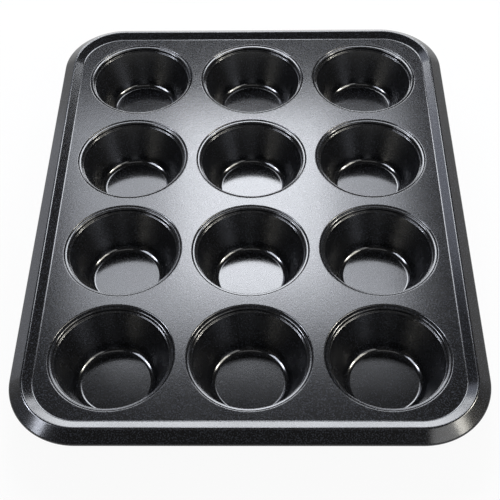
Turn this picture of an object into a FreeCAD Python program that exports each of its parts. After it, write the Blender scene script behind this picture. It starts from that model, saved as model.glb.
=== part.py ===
import FreeCAD, Part
import math
import os
import Sketcher
from FreeCAD import Placement, Rotation, Vector

# Twelve-cup muffin tin, pressed and seamed from steel sheet with a non-stick coating.
# X runs across the three columns, Y along the four rows, and Z is up from the table.
# The origin is on the table under the middle of the pan. Sections are drawn from the
# top surface of the deck, which is the sheet that carries the cups.

# Driving dimensions in millimetres, and one angle in degrees
SIZES = {
    "deck_height": 28.3,
    "deck_gauge": 0.5,
    "corner_radius": 28.0,
    "rib_run": 5.6,
    "rib_rise": 3.05,
    "deck_line_bend": 2.0,
    "ridge_bend": 1.5,
    "skirt_run": 7.1,
    "skirt_drop": 4.65,
    "wire_diameter": 1.6,
    "wire_clearance": 0.1,
    "roll_wrap": 290.0,
    "rim_lap": 4.0,
    "cup_web": 6.4,
    "side_margin": 6.8,
    "end_margin": 6.4,
    "cup_gauge": 0.5,
    "mouth_radius": 34.0,
    "mouth_bend": 1.0,
    "lip_width": 1.6,
    "lip_sink": 0.5,
    "lip_fall": 0.15,
    "ledge_depth": 2.9,
    "ledge_inset": 0.9,
    "ledge_fall": 0.25,
    "ledge_bend": 0.6,
    "floor_radius": 22.8,
    "floor_bend": 4.0,
    "seam_clearance": 0.1,
    "seat_run": 0.65,
    "edge_bend": 0.8,
    "seat_bend": 0.2,
    "collar_bend": 0.7,
    "crimp_length": 1.05,
}
COLUMNS = ("left", "middle", "right")
ROWS = ("row4", "row3", "row2", "row1")

# Sizes that follow from the driving ones
LIP_RADIUS = "(sizes.mouth_radius + sizes.lip_width)"
SEAT_RADIUS = f"({LIP_RADIUS} + 1.5 * sizes.seam_clearance)"
SEAT_DEPTH = "(sizes.lip_sink + sizes.cup_gauge + sizes.seam_clearance)"
EDGE_RADIUS = f"({SEAT_RADIUS} + sizes.seat_run)"
HOLE_RADIUS = f"({EDGE_RADIUS} + sizes.edge_bend)"
CUP_PITCH = f"(2 * {EDGE_RADIUS} + sizes.cup_web)"
FIRST_COLUMN = f"{(1 - len(COLUMNS)) / 2} * {CUP_PITCH}"
FIRST_ROW = f"{(1 - len(ROWS)) / 2} * {CUP_PITCH}"
HALF_WIDTH = f"({EDGE_RADIUS} + sizes.side_margin - {FIRST_COLUMN})"
HALF_LENGTH = f"({EDGE_RADIUS} + sizes.end_margin - {FIRST_ROW})"
SKIRT_ANGLE = "atan(sizes.skirt_drop / sizes.skirt_run)"
ROLL_RADIUS = "(sizes.wire_diameter / 2 + sizes.wire_clearance + sizes.deck_gauge)"
WIRE_OUT = f"(sizes.rib_run + sizes.skirt_run - {ROLL_RADIUS} * sin({SKIRT_ANGLE}))"
WIRE_LEVEL = f"(sizes.rib_rise - sizes.skirt_drop - {ROLL_RADIUS} * cos({SKIRT_ANGLE}))"
LEDGE_RADIUS = "(sizes.mouth_radius - sizes.ledge_inset)"
MOUTH_BEND = "min(sizes.mouth_bend; sizes.collar_bend + sizes.seam_clearance + sizes.cup_gauge)"
COLLAR_RADIUS = "(sizes.mouth_radius + sizes.cup_gauge + sizes.seam_clearance)"
SEAT_FALL = f"(({SEAT_RADIUS} - {COLLAR_RADIUS}) * sizes.lip_fall / sizes.lip_width)"
COLLAR_DEPTH = "(sizes.ledge_depth + sizes.cup_gauge + sizes.seam_clearance)"
CRIMP_BEND = "(sizes.ledge_bend + sizes.cup_gauge + sizes.seam_clearance)"
LEDGE_SLOPE = "(sizes.ledge_fall / sizes.ledge_inset)"
FLOOR_LEVEL = "(sizes.cup_gauge - sizes.deck_height)"

UPRIGHT = Placement(Vector(), Rotation(Vector(1, 0, 0), 90))
START, END, CENTRE = range(1, 4)
HORIZONTAL_AXIS, VERTICAL_AXIS = range(-1, -3, -1)

doc = FreeCAD.newDocument("muffin_tin")
sheet = doc.addObject("Spreadsheet::Sheet", "sizes")
for row, (name, size) in enumerate(SIZES.items(), start=1):
    sheet.set(f"A{row}", name.replace("_", " "))
    sheet.set(f"B{row}", str(size))
    sheet.setAlias(f"B{row}", name)
doc.recompute()


def bind(sketch, kind, *where, to):
    """Adds a dimension to a sketch and ties it to an expression of the sheet."""
    value = float(sketch.evalExpression(to))
    index = sketch.addConstraint(Sketcher.Constraint(kind, *where, value))
    sketch.setExpression(f"Constraints[{index}]", to)


def pin(sketch, geometry, end, across, up):
    """Ties one point of a sketch to two expressions; 0 puts it on an axis."""
    for kind, axis, to in (("DistanceX", VERTICAL_AXIS, across), ("DistanceY", HORIZONTAL_AXIS, up)):
        if to == "0":
            sketch.addConstraint(Sketcher.Constraint("PointOnObject", geometry, end, axis))
        else:
            bind(sketch, kind, HORIZONTAL_AXIS, START, geometry, end, to=to)


def draw_circle(sketch, across, up, radius):
    """Draws a circle whose centre and radius are tied to expressions."""
    centre = Vector(*(float(sketch.evalExpression(to)) for to in (across, up)), 0)
    size = float(sketch.evalExpression(radius))
    circle = sketch.addGeometry(Part.Circle(centre, Vector(0, 0, 1), size), False)
    pin(sketch, circle, CENTRE, across, up)
    bind(sketch, "Radius", circle, to=radius)


def tangent_arc(sketch, centre, radius, first, last, turn):
    """Adds an arc and returns its number with the ends where a path enters and leaves."""
    low, high = (first, last) if turn > 0 else (last, first)
    circle = Part.Circle(centre, Vector(0, 0, 1), radius)
    arc = sketch.addGeometry(Part.ArcOfCircle(circle, low, high), False)
    return (arc, START, END) if turn > 0 else (arc, END, START)


def draw_section(sketch, corners, curl=None):
    """Draws an open line through corners (across, up, bend), with its bends as arcs.

    A curl (radius, wrap) ends the line in an arc that turns clockwise through wrap degrees.
    """
    spots = [Vector(*(float(sketch.evalExpression(to)) for to in corner[:2]), 0) for corner in corners]
    starts = list(spots)
    ends = list(spots)
    arcs = {}
    for i in range(1, len(corners) - 1):
        if corners[i][2] is None:
            continue
        radius = float(sketch.evalExpression(corners[i][2]))
        came = (spots[i] - spots[i - 1]).normalize()
        goes = (spots[i + 1] - spots[i]).normalize()
        turn = math.atan2(came.cross(goes).z, came.dot(goes))
        setback = radius * math.tan(abs(turn) / 2)
        side = math.copysign(1.0, turn)
        ends[i] = spots[i] - came * setback
        starts[i] = spots[i] + goes * setback
        centre = ends[i] + Vector(-came.y, came.x, 0) * radius * side
        first = math.atan2(ends[i].y - centre.y, ends[i].x - centre.x)
        arcs[i] = (centre, radius, first, first + turn, turn)

    lines = [
        sketch.addGeometry(Part.LineSegment(starts[i], ends[i + 1]), False)
        for i in range(len(corners) - 1)
    ]
    pin(sketch, lines[0], START, corners[0][0], corners[0][1])
    pin(sketch, lines[-1], END, corners[-1][0], corners[-1][1])
    for i in range(1, len(corners) - 1):
        if i not in arcs:
            sketch.addConstraint(Sketcher.Constraint("Coincident", lines[i - 1], END, lines[i], START))
            pin(sketch, lines[i], START, corners[i][0], corners[i][1])
            continue
        corner = sketch.addGeometry(Part.Point(spots[i]), True)
        pin(sketch, corner, START, corners[i][0], corners[i][1])
        for line in (lines[i - 1], lines[i]):
            sketch.addConstraint(Sketcher.Constraint("PointOnObject", corner, START, line))
        arc, enters, leaves = tangent_arc(sketch, *arcs[i])
        sketch.addConstraint(Sketcher.Constraint("Tangent", lines[i - 1], END, arc, enters))
        sketch.addConstraint(Sketcher.Constraint("Tangent", arc, leaves, lines[i], START))
        bind(sketch, "Radius", arc, to=corners[i][2])

    if curl:
        radius = float(sketch.evalExpression(curl[0]))
        wrap = math.radians(float(sketch.evalExpression(curl[1])))
        goes = (spots[-1] - spots[-2]).normalize()
        centre = spots[-1] + Vector(goes.y, -goes.x, 0) * radius
        first = math.atan2(spots[-1].y - centre.y, spots[-1].x - centre.x)
        arc, enters, leaves = tangent_arc(sketch, centre, radius, first, first - wrap, -1)
        sketch.addConstraint(Sketcher.Constraint("Tangent", lines[-1], END, arc, enters))
        bind(sketch, "Radius", arc, to=curl[0])
        index = sketch.addConstraint(Sketcher.Constraint("Angle", arc, wrap))
        sketch.setExpression(f"Constraints[{index}]", f"{curl[1]} * 1 deg")


def draw_outline(sketch, half_width, half_length, corner):
    """Draws a rounded rectangle that starts at the middle of its right side."""
    a = float(sketch.evalExpression(half_width))
    b = float(sketch.evalExpression(half_length))
    r = float(sketch.evalExpression(corner))
    sides = (
        ((a, 0), (a, b - r), "Vertical"),
        ((a - r, b), (r - a, b), "Horizontal"),
        ((-a, b - r), (-a, r - b), "Vertical"),
        ((r - a, -b), (a - r, -b), "Horizontal"),
        ((a, r - b), (a, 0), "Vertical"),
    )
    centres = ((a - r, b - r), (r - a, b - r), (r - a, r - b), (a - r, r - b))
    lines = []
    arcs = []
    for i, (start, end, lie) in enumerate(sides):
        line = sketch.addGeometry(Part.LineSegment(Vector(*start, 0), Vector(*end, 0)), False)
        sketch.addConstraint(Sketcher.Constraint(lie, line))
        lines.append(line)
        if i < len(centres):
            quarter = (i * math.pi / 2, (i + 1) * math.pi / 2)
            arcs.append(tangent_arc(sketch, Vector(*centres[i], 0), r, *quarter, 1)[0])
    for i, arc in enumerate(arcs):
        sketch.addConstraint(Sketcher.Constraint("Tangent", lines[i], END, arc, START))
        sketch.addConstraint(Sketcher.Constraint("Tangent", arc, END, lines[i + 1], START))
    for arc in arcs[1:]:
        sketch.addConstraint(Sketcher.Constraint("Equal", arcs[0], arc))
    sketch.addConstraint(Sketcher.Constraint("Coincident", lines[4], END, lines[0], START))
    sketch.addConstraint(Sketcher.Constraint("PointOnObject", lines[0], START, HORIZONTAL_AXIS))
    bind(sketch, "Radius", arcs[0], to=corner)
    for line, direction, to in (
        (lines[0], "DistanceX", half_width),
        (lines[1], "DistanceY", half_length),
        (lines[2], "DistanceX", f"-({half_width})"),
        (lines[3], "DistanceY", f"-({half_length})"),
    ):
        bind(sketch, direction, HORIZONTAL_AXIS, START, line, START, to=to)


def sheet_section(name, corners, gauge, curl=None):
    """Draws a section as the line of its skin and gives it the gauge of the sheet."""
    line = doc.addObject("Sketcher::SketchObject", f"{name}_line")
    line.Placement = UPRIGHT
    draw_section(line, corners, curl)
    section = doc.addObject("Part::Offset2D", f"{name}_section")
    section.Source = line
    section.Mode = "Skin"
    section.Fill = True
    section.setExpression("Value", gauge)
    return section


def spin_at_each_cup(name, section):
    """Spins a section round the upright axis of every cup."""
    solids = []
    for i, row in enumerate(ROWS):
        for j, column in enumerate(COLUMNS):
            solid = doc.addObject("Part::Revolution", f"{name}_{row}_{column}")
            solid.Source = section
            solid.Axis = Vector(0, 0, 1)
            solid.Angle = 360
            solid.setExpression("Placement.Base.x", f"{FIRST_COLUMN} + {j} * {CUP_PITCH}")
            solid.setExpression("Placement.Base.y", f"{FIRST_ROW} + {i} * {CUP_PITCH}")
            solids.append(solid)
    return solids


def plane_of(body, role):
    """The body's own origin plane of that role."""
    return next(part for part in body.Origin.OriginFeatures if part.Role == role)


def sketch_on(body, name, role):
    """A new sketch on one of the body's own origin planes."""
    sketch = body.newObject("Sketcher::SketchObject", name)
    sketch.AttachmentSupport = [(plane_of(body, role), "")]
    sketch.MapMode = "FlatFace"
    return sketch


# Deck panel: the flat field, blanked with a grid of round holes that end where the seats begin
panel = doc.addObject("PartDesign::Body", "panel")
panel_outline = sketch_on(panel, "panel_outline", "XY_Plane")
draw_outline(
    panel_outline,
    f"{HALF_WIDTH} - sizes.rim_lap",
    f"{HALF_LENGTH} - sizes.rim_lap",
    "sizes.corner_radius - sizes.rim_lap",
)
field = panel.newObject("PartDesign::Pad", "field")
field.Profile = panel_outline
field.Reversed = True
field.setExpression("Length", "sizes.deck_gauge")
hole_circle = sketch_on(panel, "hole_circle", "XY_Plane")
draw_circle(hole_circle, FIRST_COLUMN, FIRST_ROW, HOLE_RADIUS)
hole = panel.newObject("PartDesign::Pocket", "hole")
hole.Profile = hole_circle
hole.Type = "ThroughAll"
hole.Midplane = True
grid = panel.newObject("PartDesign::LinearPattern", "grid")
grid.Originals = [hole]
grid.Direction = (hole_circle, ["H_Axis"])
grid.Direction2 = (hole_circle, ["V_Axis"])
grid.Occurrences = len(COLUMNS)
grid.Occurrences2 = len(ROWS)
grid.setExpression("Length", f"{len(COLUMNS) - 1} * {CUP_PITCH}")
grid.setExpression("Length2", f"{len(ROWS) - 1} * {CUP_PITCH}")
panel.Tip = grid

# Deck rim: inner slope, ridge and skirt, rolled over the wire and led round the panel
rim_section = sheet_section(
    "rim",
    [
        (f"{HALF_WIDTH} - sizes.rim_lap", "0", None),
        (HALF_WIDTH, "0", "sizes.deck_line_bend"),
        (f"{HALF_WIDTH} + sizes.rib_run", "sizes.rib_rise", "sizes.ridge_bend"),
        (f"{HALF_WIDTH} + sizes.rib_run + sizes.skirt_run", "sizes.rib_rise - sizes.skirt_drop", None),
    ],
    "-sizes.deck_gauge",
    curl=(ROLL_RADIUS, "sizes.roll_wrap"),
)
rim_path = doc.addObject("Sketcher::SketchObject", "rim_path")
draw_outline(
    rim_path,
    f"{HALF_WIDTH} - sizes.rim_lap",
    f"{HALF_LENGTH} - sizes.rim_lap",
    "sizes.corner_radius - sizes.rim_lap",
)
rim = doc.addObject("Part::Sweep", "rim")
rim.Sections = [rim_section]
rim.Spine = (rim_path, [f"Edge{i}" for i in range(1, 10)])
rim.Solid = True

# Deck seats: the edge of each hole steps down to a seat for the cup's lip, then turns down
# as a collar that is crimped in under the ledge of the cup
seat_section = sheet_section(
    "seat",
    [
        (HOLE_RADIUS, "0", None),
        (EDGE_RADIUS, "0", "sizes.edge_bend"),
        (SEAT_RADIUS, f"-{SEAT_DEPTH}", "sizes.seat_bend"),
        (COLLAR_RADIUS, f"-{SEAT_DEPTH} - {SEAT_FALL}", "sizes.collar_bend"),
        (COLLAR_RADIUS, f"-{COLLAR_DEPTH}", CRIMP_BEND),
        (
            f"{COLLAR_RADIUS} - sizes.crimp_length",
            f"-{COLLAR_DEPTH} - sizes.crimp_length * {LEDGE_SLOPE}",
            None,
        ),
    ],
    "sizes.deck_gauge",
)
deck = doc.addObject("Part::MultiFuse", "deck")
deck.Shapes = [panel, rim, *spin_at_each_cup("seat", seat_section)]
deck.Refine = True

# Rim wire: a round steel wire that lies inside the rolled edge all the way round
rim_wire = doc.addObject("PartDesign::Body", "rim_wire")
wire_path = sketch_on(rim_wire, "wire_path", "XY_Plane")
draw_outline(
    wire_path,
    f"{HALF_WIDTH} + {WIRE_OUT}",
    f"{HALF_LENGTH} + {WIRE_OUT}",
    f"sizes.corner_radius + {WIRE_OUT}",
)
wire_path.setExpression("AttachmentOffset.Base.z", WIRE_LEVEL)
wire_section = sketch_on(rim_wire, "wire_section", "XZ_Plane")
draw_circle(wire_section, f"{HALF_WIDTH} + {WIRE_OUT}", WIRE_LEVEL, "sizes.wire_diameter / 2")
wire = rim_wire.newObject("PartDesign::AdditivePipe", "wire")
wire.Profile = wire_section
wire.Spine = (wire_path, [f"Edge{i}" for i in range(1, 10)])

# Cups: deep-drawn shells with a flat floor, a ledge below the mouth and a lip sunk in the seat
cup_section = sheet_section(
    "cup",
    [
        ("0", FLOOR_LEVEL, None),
        ("sizes.floor_radius", FLOOR_LEVEL, "sizes.floor_bend"),
        (LEDGE_RADIUS, "-sizes.ledge_depth - sizes.ledge_fall", "sizes.ledge_bend"),
        ("sizes.mouth_radius", "-sizes.ledge_depth", "sizes.ledge_bend"),
        ("sizes.mouth_radius", "-sizes.lip_sink - sizes.lip_fall", MOUTH_BEND),
        (LIP_RADIUS, "-sizes.lip_sink", None),
    ],
    "-sizes.cup_gauge",
)

sub_parts = [deck, rim_wire, *spin_at_each_cup("cup", cup_section)]
for part in sub_parts:
    part.setExpression("Placement.Base.z", "sizes.deck_height")

doc.recompute()
for item in doc.Objects:
    if "Invalid" in item.State or "Error" in item.State:
        raise RuntimeError(f"{item.Name} failed: {item.State}")
os.makedirs("parts", exist_ok=True)
for part in sub_parts:
    shape = part.Shape
    if shape.isNull() or not shape.isValid() or len(shape.Solids) != 1:
        raise RuntimeError(f"{part.Label} is not one sound solid")
    shape.exportStep(f"parts/{part.Label}.step")
    box = shape.optimalBoundingBox(True, False)
    print(f"{part.Label}: {box.XLength:.1f} x {box.YLength:.1f} x {box.ZLength:.1f} mm")
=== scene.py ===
import math

import bmesh
import bpy
from mathutils import Matrix, Vector


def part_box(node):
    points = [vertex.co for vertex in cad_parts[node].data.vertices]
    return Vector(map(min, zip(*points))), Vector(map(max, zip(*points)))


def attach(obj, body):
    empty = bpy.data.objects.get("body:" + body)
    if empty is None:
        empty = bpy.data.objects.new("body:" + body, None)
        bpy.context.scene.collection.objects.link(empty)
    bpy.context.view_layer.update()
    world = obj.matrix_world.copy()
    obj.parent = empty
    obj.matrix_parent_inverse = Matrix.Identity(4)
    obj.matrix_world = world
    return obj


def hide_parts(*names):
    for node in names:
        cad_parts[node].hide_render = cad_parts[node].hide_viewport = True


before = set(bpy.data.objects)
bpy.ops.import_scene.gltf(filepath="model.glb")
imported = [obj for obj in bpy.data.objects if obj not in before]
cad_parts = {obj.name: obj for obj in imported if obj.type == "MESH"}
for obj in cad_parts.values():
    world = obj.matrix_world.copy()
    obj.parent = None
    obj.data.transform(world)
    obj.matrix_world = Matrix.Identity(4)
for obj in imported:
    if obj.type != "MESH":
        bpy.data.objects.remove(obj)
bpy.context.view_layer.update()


# Cups
# Twelve shells, deep-drawn from 0.5 mm steel sheet: a flat floor, a tapered wall, a small
# ledge below the mouth, and a lip that lies sunk in the seat round the deck's hole. One is
# modelled and copied to each place.
CUP_NODES = sorted(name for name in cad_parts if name.startswith("cup_"))
CUP_GAUGE = 0.0005
CUP_SIDES = 144
LIP_WIDTH = 0.0016
LIP_SINK = 0.0005
LIP_FALL = 0.00015
MOUTH_BEND = 0.001
LEDGE_DEPTH = 0.0029
LEDGE_INSET = 0.0009
LEDGE_FALL = 0.00025
LEDGE_BEND = 0.0006
FLOOR_RADIUS = 0.0228
FLOOR_BEND = 0.004
FLOOR_EYE = 0.003
SEAM_GAP = 0.0001
SHARP_ANGLE = math.radians(40)
NEAR = 1e-6

cup_low, cup_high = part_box(CUP_NODES[0])
lip_tilt = math.atan(LIP_FALL / LIP_WIDTH)
lip_radius = (cup_high.x - cup_low.x) / 2 - CUP_GAUGE * math.sin(lip_tilt)
mouth_radius = lip_radius - LIP_WIDTH
deck_level = cup_high.z + LIP_SINK
cup_centres = {name: (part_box(name)[0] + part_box(name)[1]) / 2 for name in CUP_NODES}


def select_edges(piece, wanted):
    """Selects the edges whose two ends both meet a condition on place, in edit mode."""
    bpy.ops.mesh.select_all(action="DESELECT")
    mesh = bmesh.from_edit_mesh(piece.data)
    for edge in mesh.edges:
        if all(wanted(vert.co) for vert in edge.verts):
            edge.select_set(True)
    bmesh.update_edit_mesh(piece.data)


def spun_skin(name, profile, sides):
    """Carries a ring through (radius, height, bend, steps) places and rounds the corners."""
    bpy.ops.object.select_all(action="DESELECT")
    bpy.ops.mesh.primitive_circle_add(
        vertices=sides,
        radius=profile[0][0],
        location=(0, 0, profile[0][1]),
    )
    bpy.ops.object.transform_apply()
    skin = bpy.context.object
    skin.name = name
    bpy.ops.object.mode_set(mode="EDIT")
    for (radius, height, _, _), (next_radius, next_height, _, _) in zip(profile, profile[1:]):
        grow = next_radius / radius
        bpy.ops.mesh.extrude_region()
        bpy.ops.transform.resize(value=(grow, grow, 1), center_override=(0, 0, height))
        bpy.ops.transform.translate(value=(0, 0, next_height - height))
    for before, (radius, height, bend, steps), after in zip(profile, profile[1:], profile[2:]):
        if not bend:
            continue
        came = Vector((radius - before[0], height - before[1]))
        goes = Vector((after[0] - radius, after[1] - height))
        select_edges(
            skin,
            lambda spot: abs(spot.xy.length - radius) < NEAR and abs(spot.z - height) < NEAR,
        )
        reach = bend * math.tan(came.angle(goes) / 2)
        bpy.ops.mesh.bevel(offset=reach, segments=steps, clamp_overlap=False)
    return skin


def give_thickness(piece, gauge):
    """Turns a skin into sheet: its faces are the side that shows, with the metal behind them."""
    bpy.ops.mesh.select_all(action="SELECT")
    bpy.ops.mesh.remove_doubles(threshold=NEAR)
    bpy.ops.mesh.normals_make_consistent(inside=False)
    bpy.ops.object.mode_set(mode="OBJECT")
    bpy.ops.object.modifier_add(type="SOLIDIFY")
    solidify = piece.modifiers[-1]
    solidify.thickness = gauge
    solidify.offset = -1
    solidify.use_even_offset = True
    bpy.ops.object.modifier_apply(modifier=solidify.name)
    bpy.ops.object.shade_smooth_by_angle(angle=SHARP_ANGLE)
    bpy.ops.object.modifier_add(type="WEIGHTED_NORMAL")
    weighted = piece.modifiers[-1]
    weighted.keep_sharp = True
    bpy.ops.object.modifier_apply(modifier=weighted.name)


floor_top = CUP_GAUGE
cup_profile = [
    (lip_radius, cup_high.z, None, 0),
    (mouth_radius, cup_high.z - LIP_FALL, MOUTH_BEND, 8),
    (mouth_radius, deck_level - LEDGE_DEPTH, LEDGE_BEND, 4),
    (mouth_radius - LEDGE_INSET, deck_level - LEDGE_DEPTH - LEDGE_FALL, LEDGE_BEND, 4),
    (FLOOR_RADIUS, floor_top, FLOOR_BEND, 12),
    (FLOOR_RADIUS / 2, floor_top, None, 0),
    (FLOOR_EYE, floor_top, None, 0),
]
cup = spun_skin("cup", cup_profile, CUP_SIDES)
select_edges(cup, lambda spot: spot.xy.length < FLOOR_EYE + NEAR)
bpy.ops.mesh.merge(type="CENTER")
give_thickness(cup, CUP_GAUGE)


def linear(colour):
    """Turns an sRGB hex colour into the linear values that a shader takes."""
    parts = [int(colour[i : i + 2], 16) / 255 for i in (1, 3, 5)]
    red, green, blue = (
        part / 12.92 if part <= 0.04045 else ((part + 0.055) / 1.055) ** 2.4 for part in parts
    )
    return red, green, blue, 1


def add_node(tree, kind, inputs=None, **settings):
    """Adds a node with its settings; an input is a value, or the socket that it is linked to."""
    node = tree.nodes.new(kind)
    for name, value in settings.items():
        setattr(node, name, value)
    for name, value in (inputs or {}).items():
        if isinstance(value, bpy.types.NodeSocket):
            tree.links.new(value, node.inputs[name])
        else:
            node.inputs[name].default_value = value
    return node


def add_noise(tree, place, per_metre, detail):
    """Adds a noise texture with so many patches to the metre, and returns its value's socket."""
    inputs = {"Vector": place, "Scale": per_metre, "Detail": detail}
    return add_node(tree, "ShaderNodeTexNoise", inputs).outputs["Fac"]


def new_material(name):
    """Makes an empty node material and returns it with its node tree."""
    material = bpy.data.materials.new(name)
    material.use_nodes = True
    material.node_tree.nodes.clear()
    return material, material.node_tree


# Non-stick coating inside the cups: a black fluoropolymer, sprayed and baked on. To the eye
# it is a deep black that mirrors lamps softly, over a faint orange peel. It is glossier here
# than on the deck, and duller on the wall, which the drawing stretches. The real flecks are
# finer than 0.8 mm, and are drawn as coarse as they need to show.
COATING_BLACK = "#0d0d0e"
COATING_FLECK = "#303238"
COATING_IOR = 1.5
FLECK_SIZE = 0.0008
FLECK_EDGE = 0.1
GLOSS_PATCH = 12 * FLECK_SIZE
WALL_FOOT = 0.004
WALL_HEAD = 0.026
WALL_FADE = 0.003


def baked_coating(name, roughness, spread, fleck_share, peel_size, peel_height, wall_dulling=0.0):
    """A sprayed black coating with pale flecks, uneven gloss and orange peel, sized in metres."""
    material, tree = new_material(name)
    place = add_node(tree, "ShaderNodeTexCoord").outputs["Object"]
    fleck = add_noise(tree, place, 1 / FLECK_SIZE, 2.0)
    speckle = add_node(
        tree,
        "ShaderNodeMapRange",
        {
            "Value": fleck,
            "From Min": 1 - fleck_share,
            "From Max": 1 + FLECK_EDGE - fleck_share,
        },
    )
    colour = add_node(
        tree,
        "ShaderNodeMix",
        {"Factor": speckle.outputs["Result"], 6: linear(COATING_BLACK), 7: linear(COATING_FLECK)},
        data_type="RGBA",
    )
    gloss = add_noise(tree, place, 1 / GLOSS_PATCH, 3.0)
    patchy = add_node(
        tree,
        "ShaderNodeMapRange",
        {"Value": gloss, "To Min": roughness - spread, "To Max": roughness + spread},
    )
    height = add_node(tree, "ShaderNodeSeparateXYZ", {0: place}).outputs["Z"]
    foot = add_node(
        tree,
        "ShaderNodeMapRange",
        {
            "Value": height,
            "From Min": WALL_FOOT,
            "From Max": WALL_FOOT + WALL_FADE,
            "To Max": wall_dulling,
        },
    )
    wall = add_node(
        tree,
        "ShaderNodeMapRange",
        {
            "Value": height,
            "From Min": WALL_HEAD - WALL_FADE,
            "From Max": WALL_HEAD,
            "To Min": foot.outputs["Result"],
            "To Max": 0.0,
        },
    )
    rough = add_node(
        tree,
        "ShaderNodeMath",
        {0: patchy.outputs["Result"], 1: wall.outputs["Result"]},
        operation="ADD",
    )
    peel = add_noise(tree, place, 1 / peel_size, 2.0)
    bump = add_node(tree, "ShaderNodeBump", {"Height": peel, "Distance": peel_height})
    shader = add_node(
        tree,
        "ShaderNodeBsdfPrincipled",
        {
            "Base Color": colour.outputs[2],
            "Roughness": rough.outputs["Value"],
            "IOR": COATING_IOR,
            "Normal": bump.outputs["Normal"],
        },
    )
    add_node(tree, "ShaderNodeOutputMaterial", {"Surface": shader.outputs["BSDF"]})
    return material


cup_coating = baked_coating(
    "baked_coating_cup",
    roughness=0.12,
    spread=0.02,
    fleck_share=0.46,
    peel_size=0.002,
    peel_height=0.000008,
    wall_dulling=0.15,
)
cup.data.materials.append(cup_coating)
for name, centre in cup_centres.items():
    copy = cup.copy()
    copy.data = cup.data.copy()
    copy.data.transform(Matrix.Translation((centre.x, centre.y, 0)))
    copy.name = f"{name}_shell"
    bpy.context.collection.objects.link(copy)
    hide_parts(name)
    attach(copy, "root")
bpy.data.objects.remove(cup)


# Deck
# One stamping of 0.5 mm steel sheet: a flat field, a slope up to a raised ridge all round,
# and a skirt that falls outwards and is rolled over the rim wire. Each hole's edge steps
# down to the seat of its cup's lip and is crimped in under the cup's ledge.
DECK_GAUGE = 0.0005
WIRE_RADIUS = 0.0008
WIRE_CLEARANCE = 0.0001
CORNER_RADIUS = 0.028
RIB_RUN = 0.0056
RIB_RISE = 0.00305
DECK_LINE_BEND = 0.002
RIDGE_BEND = 0.0015
SKIRT_RUN = 0.0071
SKIRT_DROP = 0.00465
RIM_LAP = 0.004
SEAT_SIDES = 96
SEAT_RUN = 0.00065
EDGE_BEND = 0.0008
SEAT_BEND = 0.0002
COLLAR_BEND = 0.0007
CRIMP_LENGTH = 0.00105
ROLL_SIDES = 36
ROLL_STEPS = 29
CORNER_STEPS = 30
BEND_STEPS = 8

roll_radius = WIRE_RADIUS + WIRE_CLEARANCE + DECK_GAUGE
skirt_angle = math.atan(SKIRT_DROP / SKIRT_RUN)
rib_angle = math.atan(RIB_RISE / RIB_RUN)
deck_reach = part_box("deck")[1]
roll_out = Vector((math.sin(skirt_angle), 0, math.cos(skirt_angle))) * roll_radius
roll_level = deck_level + RIB_RISE - SKIRT_DROP - roll_out.z
corner = Vector(
    (
        deck_reach.x - roll_radius + roll_out.x - SKIRT_RUN - RIB_RUN - CORNER_RADIUS,
        deck_reach.y - roll_radius + roll_out.x - SKIRT_RUN - RIB_RUN - CORNER_RADIUS,
        0,
    )
)
roll_centre = Vector((deck_reach.x - roll_radius, corner.y, roll_level))

# The seat and its collar, modelled once and then set out on the grid of cups
seat_radius = lip_radius + 1.5 * SEAM_GAP
seat_level = deck_level - LIP_SINK - CUP_GAUGE - SEAM_GAP
edge_radius = seat_radius + SEAT_RUN
collar_radius = mouth_radius + CUP_GAUGE + SEAM_GAP
seat_fall = (seat_radius - collar_radius) * LIP_FALL / LIP_WIDTH
crimp_level = deck_level - LEDGE_DEPTH - CUP_GAUGE - SEAM_GAP
crimp_bend = LEDGE_BEND + CUP_GAUGE + SEAM_GAP
seat_profile = [
    (edge_radius + EDGE_BEND, deck_level, None, 0),
    (edge_radius, deck_level, EDGE_BEND, 6),
    (seat_radius, seat_level, SEAT_BEND, 2),
    (collar_radius, seat_level - seat_fall, COLLAR_BEND, 4),
    (collar_radius, crimp_level, crimp_bend, 4),
    (collar_radius - CRIMP_LENGTH, crimp_level - CRIMP_LENGTH * LEDGE_FALL / LEDGE_INSET, None, 0),
]
seat = spun_skin("seat", seat_profile, SEAT_SIDES)
bpy.ops.object.mode_set(mode="OBJECT")
columns = sorted({round(centre.x, 4) for centre in cup_centres.values()})
rows = sorted({round(centre.y, 4) for centre in cup_centres.values()})
column_step = (columns[1] - columns[0], 0, 0)
row_step = (0, rows[1] - rows[0], 0)
for count, step in ((len(columns), column_step), (len(rows), row_step)):
    bpy.ops.object.modifier_add(type="ARRAY")
    grid = seat.modifiers[-1]
    grid.count = count
    grid.use_relative_offset = False
    grid.use_constant_offset = True
    grid.constant_offset_displace = step
    bpy.ops.object.modifier_apply(modifier=grid.name)
bpy.ops.transform.translate(value=(columns[0], rows[0], 0))
bpy.ops.object.transform_apply()

# One quarter of the rim: its section is drawn from the roll inwards and led round a corner
bpy.ops.object.select_all(action="DESELECT")
bpy.ops.mesh.primitive_circle_add(
    vertices=ROLL_SIDES,
    radius=roll_radius,
    location=roll_centre,
    rotation=(math.pi / 2, skirt_angle, 0),
)
bpy.ops.object.transform_apply()
deck = bpy.context.object
deck.name = "deck_sheet"
bpy.ops.object.mode_set(mode="EDIT")
bpy.ops.mesh.select_mode(type="VERT")
bpy.ops.mesh.select_all(action="DESELECT")
section = bmesh.from_edit_mesh(deck.data)
section.verts.ensure_lookup_table()
for vert in section.verts[1 : ROLL_SIDES - ROLL_STEPS]:
    vert.select_set(True)
bpy.ops.mesh.delete(type="VERT")


def select_vert(place):
    """Selects the one point of the deck's section that lies at a place."""
    bpy.ops.mesh.select_all(action="DESELECT")
    mesh = bmesh.from_edit_mesh(deck.data)
    for vert in mesh.verts:
        if (vert.co - place).length < NEAR:
            vert.select_set(True)
    bmesh.update_edit_mesh(deck.data)


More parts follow.
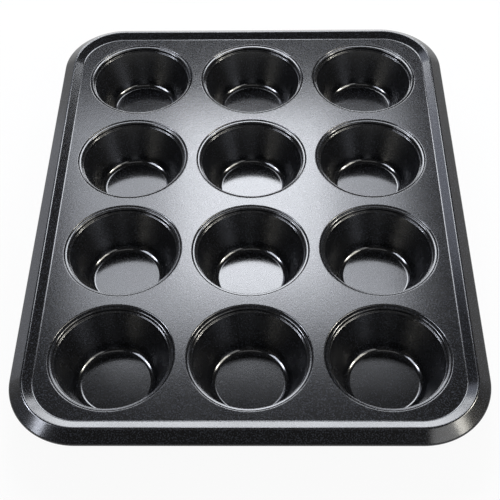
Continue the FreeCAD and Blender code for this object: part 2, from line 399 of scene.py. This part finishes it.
skirt_end = roll_centre + roll_out
ridge = skirt_end + Vector((-SKIRT_RUN, 0, SKIRT_DROP))
deck_edge = ridge + Vector((-RIB_RUN, 0, -RIB_RISE))
select_vert(skirt_end)
for step in (ridge - skirt_end, deck_edge - ridge, Vector((-RIM_LAP, 0, 0))):
    bpy.ops.mesh.extrude_verts_indiv()
    bpy.ops.transform.translate(value=step)
bends = ((ridge, RIDGE_BEND, skirt_angle + rib_angle), (deck_edge, DECK_LINE_BEND, rib_angle))
for place, bend, turn in bends:
    select_vert(place)
    bpy.ops.mesh.bevel(offset=bend * math.tan(turn / 2), segments=BEND_STEPS, affect="VERTICES")
bpy.ops.mesh.select_all(action="SELECT")
bpy.ops.mesh.spin(steps=CORNER_STEPS, angle=-math.pi / 2, center=corner, axis=(0, 0, 1))
bpy.ops.mesh.extrude_region()
bpy.ops.transform.translate(value=(-corner.x, 0, 0))
select_edges(deck, lambda spot: abs(spot.y - corner.y) < NEAR)
bpy.ops.mesh.extrude_region()
bpy.ops.transform.translate(value=(0, -corner.y, 0))
bpy.ops.object.mode_set(mode="OBJECT")
bpy.ops.object.modifier_add(type="MIRROR")
mirror = deck.modifiers[-1]
mirror.use_axis = (True, True, False)
mirror.merge_threshold = NEAR
bpy.ops.object.modifier_apply(modifier=mirror.name)

# The flat field, filled in between the rim and the seats
seat.select_set(True)
bpy.ops.object.join()
bpy.ops.object.mode_set(mode="EDIT")
bpy.ops.mesh.select_mode(type="EDGE")
bpy.ops.mesh.select_all(action="DESELECT")
mesh = bmesh.from_edit_mesh(deck.data)
for edge in mesh.edges:
    if edge.is_boundary and all(abs(vert.co.z - deck_level) < NEAR for vert in edge.verts):
        edge.select_set(True)
bmesh.update_edit_mesh(deck.data)
bpy.ops.mesh.fill()
give_thickness(deck, DECK_GAUGE)

# Non-stick coating on the deck: the same black, on sheet that wasn't drawn. The peel is
# finer and deeper than in the cups, so lamps show in it as a grainy, wider glow.
deck_coating = baked_coating(
    "baked_coating_deck",
    roughness=0.16,
    spread=0.02,
    fleck_share=0.48,
    peel_size=0.0012,
    peel_height=0.000014,
)
deck.data.materials.append(deck_coating)
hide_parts("deck")
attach(deck, "root")


# Rim wire
# One ring of drawn low-carbon steel, uncoated, which the skirt's edge is rolled over. It is
# the CAD node itself. It would show as bright grey metal with fine streaks 0.67 mm apart.
WIRE_STEEL = "#c4c5c8"
WIRE_STREAKS_PER_METRE = 1500.0
WIRE_SMOOTHEST = 0.25
WIRE_ROUGHEST = 0.45

wire_material, tree = new_material("drawn_steel_wire")
place = add_node(tree, "ShaderNodeTexCoord").outputs["Object"]
streak = add_noise(tree, place, WIRE_STREAKS_PER_METRE, 3.0)
rough = add_node(
    tree,
    "ShaderNodeMapRange",
    {"Value": streak, "To Min": WIRE_SMOOTHEST, "To Max": WIRE_ROUGHEST},
)
shader = add_node(
    tree,
    "ShaderNodeBsdfPrincipled",
    {"Base Color": linear(WIRE_STEEL), "Metallic": 1.0, "Roughness": rough.outputs["Result"]},
)
add_node(tree, "ShaderNodeOutputMaterial", {"Surface": shader.outputs["BSDF"]})
rim_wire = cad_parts["rim_wire"]
rim_wire.data.materials.clear()
rim_wire.data.materials.append(wire_material)


# Floor
# A plain white table, matt. Seen directly or in the coating it is lifted most of the way to
# white, and the rest is lit by the lamps, which keeps a faint shadow.
FLOOR_SIZE = 8.0
FLOOR_GAP = 0.0002
FLOOR_LIFT = 0.93
FLOOR_WHITE = "#f2f2f2"

floor_material, tree = new_material("white_table")
ray = add_node(tree, "ShaderNodeLightPath")
mirrored = add_node(
    tree,
    "ShaderNodeMath",
    {0: ray.outputs["Is Camera Ray"], 1: ray.outputs["Is Glossy Ray"]},
    operation="ADD",
)
seen = add_node(
    tree,
    "ShaderNodeMath",
    {0: mirrored.outputs[0], 1: ray.outputs["Is Transmission Ray"]},
    operation="ADD",
    use_clamp=True,
)
lifted = add_node(
    tree,
    "ShaderNodeMath",
    {0: seen.outputs[0], 1: FLOOR_LIFT},
    operation="MULTIPLY",
)
matt = add_node(tree, "ShaderNodeBsdfDiffuse", {"Color": linear(FLOOR_WHITE)})
glow = add_node(tree, "ShaderNodeEmission", {"Color": linear("#ffffff"), "Strength": 1.0})
mix = add_node(
    tree,
    "ShaderNodeMixShader",
    {0: lifted.outputs[0], 1: matt.outputs[0], 2: glow.outputs[0]},
)
add_node(tree, "ShaderNodeOutputMaterial", {"Surface": mix.outputs[0]})
bpy.ops.object.select_all(action="DESELECT")
bpy.ops.mesh.primitive_plane_add(size=FLOOR_SIZE, location=(0, 0, -FLOOR_GAP))
floor = bpy.context.object
floor.name = "table_top"
floor.data.materials.append(floor_material)


# Studio light
# Softboxes behind the pan make the pale glow on the deck and on the cup floors. Lamps at
# both sides draw the lines along the rings, the ridge and the corners, and light nothing
# else, so that a matt colour shows about as it is written. The room is white round the
# horizon and dark overhead.
ROOM_DARK = 0.1
ROOM_DARK_RISE = 0.4
ROOM_DIFFUSE = 0.15
LAMP_DISTANCE = 1.4

world = bpy.data.worlds.new("studio")
bpy.context.scene.world = world
world.use_nodes = True
tree = world.node_tree
tree.nodes.clear()
ray = add_node(tree, "ShaderNodeLightPath")
toward = add_node(tree, "ShaderNodeTexCoord").outputs["Generated"]
skyward = add_node(tree, "ShaderNodeSeparateXYZ", {0: toward})
ceiling = add_node(
    tree,
    "ShaderNodeMapRange",
    {"Value": skyward.outputs["Z"], "From Max": ROOM_DARK_RISE, "To Min": 1.0, "To Max": ROOM_DARK},
)
lit = add_node(
    tree,
    "ShaderNodeMapRange",
    {
        "Value": ray.outputs["Is Diffuse Ray"],
        "To Min": ceiling.outputs["Result"],
        "To Max": ROOM_DIFFUSE,
    },
)
level = add_node(
    tree,
    "ShaderNodeMath",
    {0: lit.outputs["Result"], 1: ray.outputs["Is Camera Ray"]},
    operation="MAXIMUM",
)
room = add_node(
    tree,
    "ShaderNodeBackground",
    {"Color": linear("#ffffff"), "Strength": level.outputs[0]},
)
add_node(tree, "ShaderNodeOutputWorld", {"Surface": room.outputs[0]})

# Name, azimuth (0 behind the pan, 90 to its right), elevation, width, height, radiance, colour
LAMPS = (
    ("behind_middle", -1, 48.5, 0.3, 0.34, 10.5, "#f6f9ff"),
    ("behind_round", -3, 50, 0.66, 0.44, 7.0, "#f2f6ff"),
    ("behind_high", 0, 58, 0.6, 0.2, 1.2, "#f2f6ff"),
    ("behind_low", 0, 27, 1.4, 0.15, 10.0, "#f6f9ff"),
    ("backdrop", 0, 12, 1.5, 0.5, 8.0, "#f6f9ff"),
    ("behind_left", -31, 35, 0.3, 0.4, 2.5, "#e4ebff"),
    ("back_left", -56, 9, 0.5, 0.3, 0.7, "#e4ebff"),
    ("left_small", -90, 38, 0.25, 0.2, 70.0, "#ecf1ff"),
    ("left_wide", -101, 43, 0.9, 0.5, 17.0, "#ecf1ff"),
    ("right_small", 90, 38, 0.25, 0.2, 80.0, "#fffbf0"),
    ("right_wide", 101, 43, 0.9, 0.5, 13.0, "#fffbf0"),
    ("front_right", 135, 35, 0.8, 0.6, 3.0, "#ffffff"),
    ("front_high", 180, 63, 0.8, 0.4, 1.0, "#ffffff"),
)
LINE_LAMPS = ("left_small", "left_wide", "right_small", "right_wide")


def direction(azimuth, elevation):
    """The way to look from the pan, by the angle round from its far end and the angle up."""
    return Vector(
        (
            math.sin(azimuth) * math.cos(elevation),
            math.cos(azimuth) * math.cos(elevation),
            math.sin(elevation),
        )
    )


for name, azimuth, elevation, width, height, radiance, colour in LAMPS:
    outward = direction(math.radians(azimuth), math.radians(elevation))
    bpy.ops.object.light_add(type="AREA", location=outward * LAMP_DISTANCE)
    lamp = bpy.context.object
    lamp.name = name
    lamp.rotation_euler = outward.to_track_quat("Z", "Y").to_euler()
    lamp.visible_camera = False
    lamp.data.shape = "RECTANGLE"
    lamp.data.size = width
    lamp.data.size_y = height
    lamp.data.color = linear(colour)[:3]
    lamp.data.energy = radiance * math.pi * width * height
    lamp.visible_diffuse = name not in LINE_LAMPS


# Camera
# A short telephoto above the near end of the pan, turned and rolled a little.
CAMERA_LENS = 75.595
CAMERA_DOWN = math.radians(50.526)
CAMERA_TURN = math.radians(-1.346)
CAMERA_ROLL = math.radians(-1.174)
CAMERA_DISTANCE = 0.6498
CAMERA_TARGET = Vector((0, -0.04037, 0.0277))
CAMERA_SHIFT = 0.001

look = direction(CAMERA_TURN, -CAMERA_DOWN)
bpy.ops.object.camera_add()
camera = bpy.context.object
camera.data.lens = CAMERA_LENS
camera.data.shift_x = -CAMERA_SHIFT
camera.data.shift_y = CAMERA_SHIFT
camera.matrix_world = (
    Matrix.Translation(CAMERA_TARGET - look * CAMERA_DISTANCE)
    @ Matrix.Rotation(-CAMERA_TURN, 4, "Z")
    @ Matrix.Rotation(math.pi / 2 - CAMERA_DOWN, 4, "X")
    @ Matrix.Rotation(CAMERA_ROLL, 4, "Z")
)
scene = bpy.context.scene
scene.camera = camera
scene.view_settings.view_transform = "Standard"
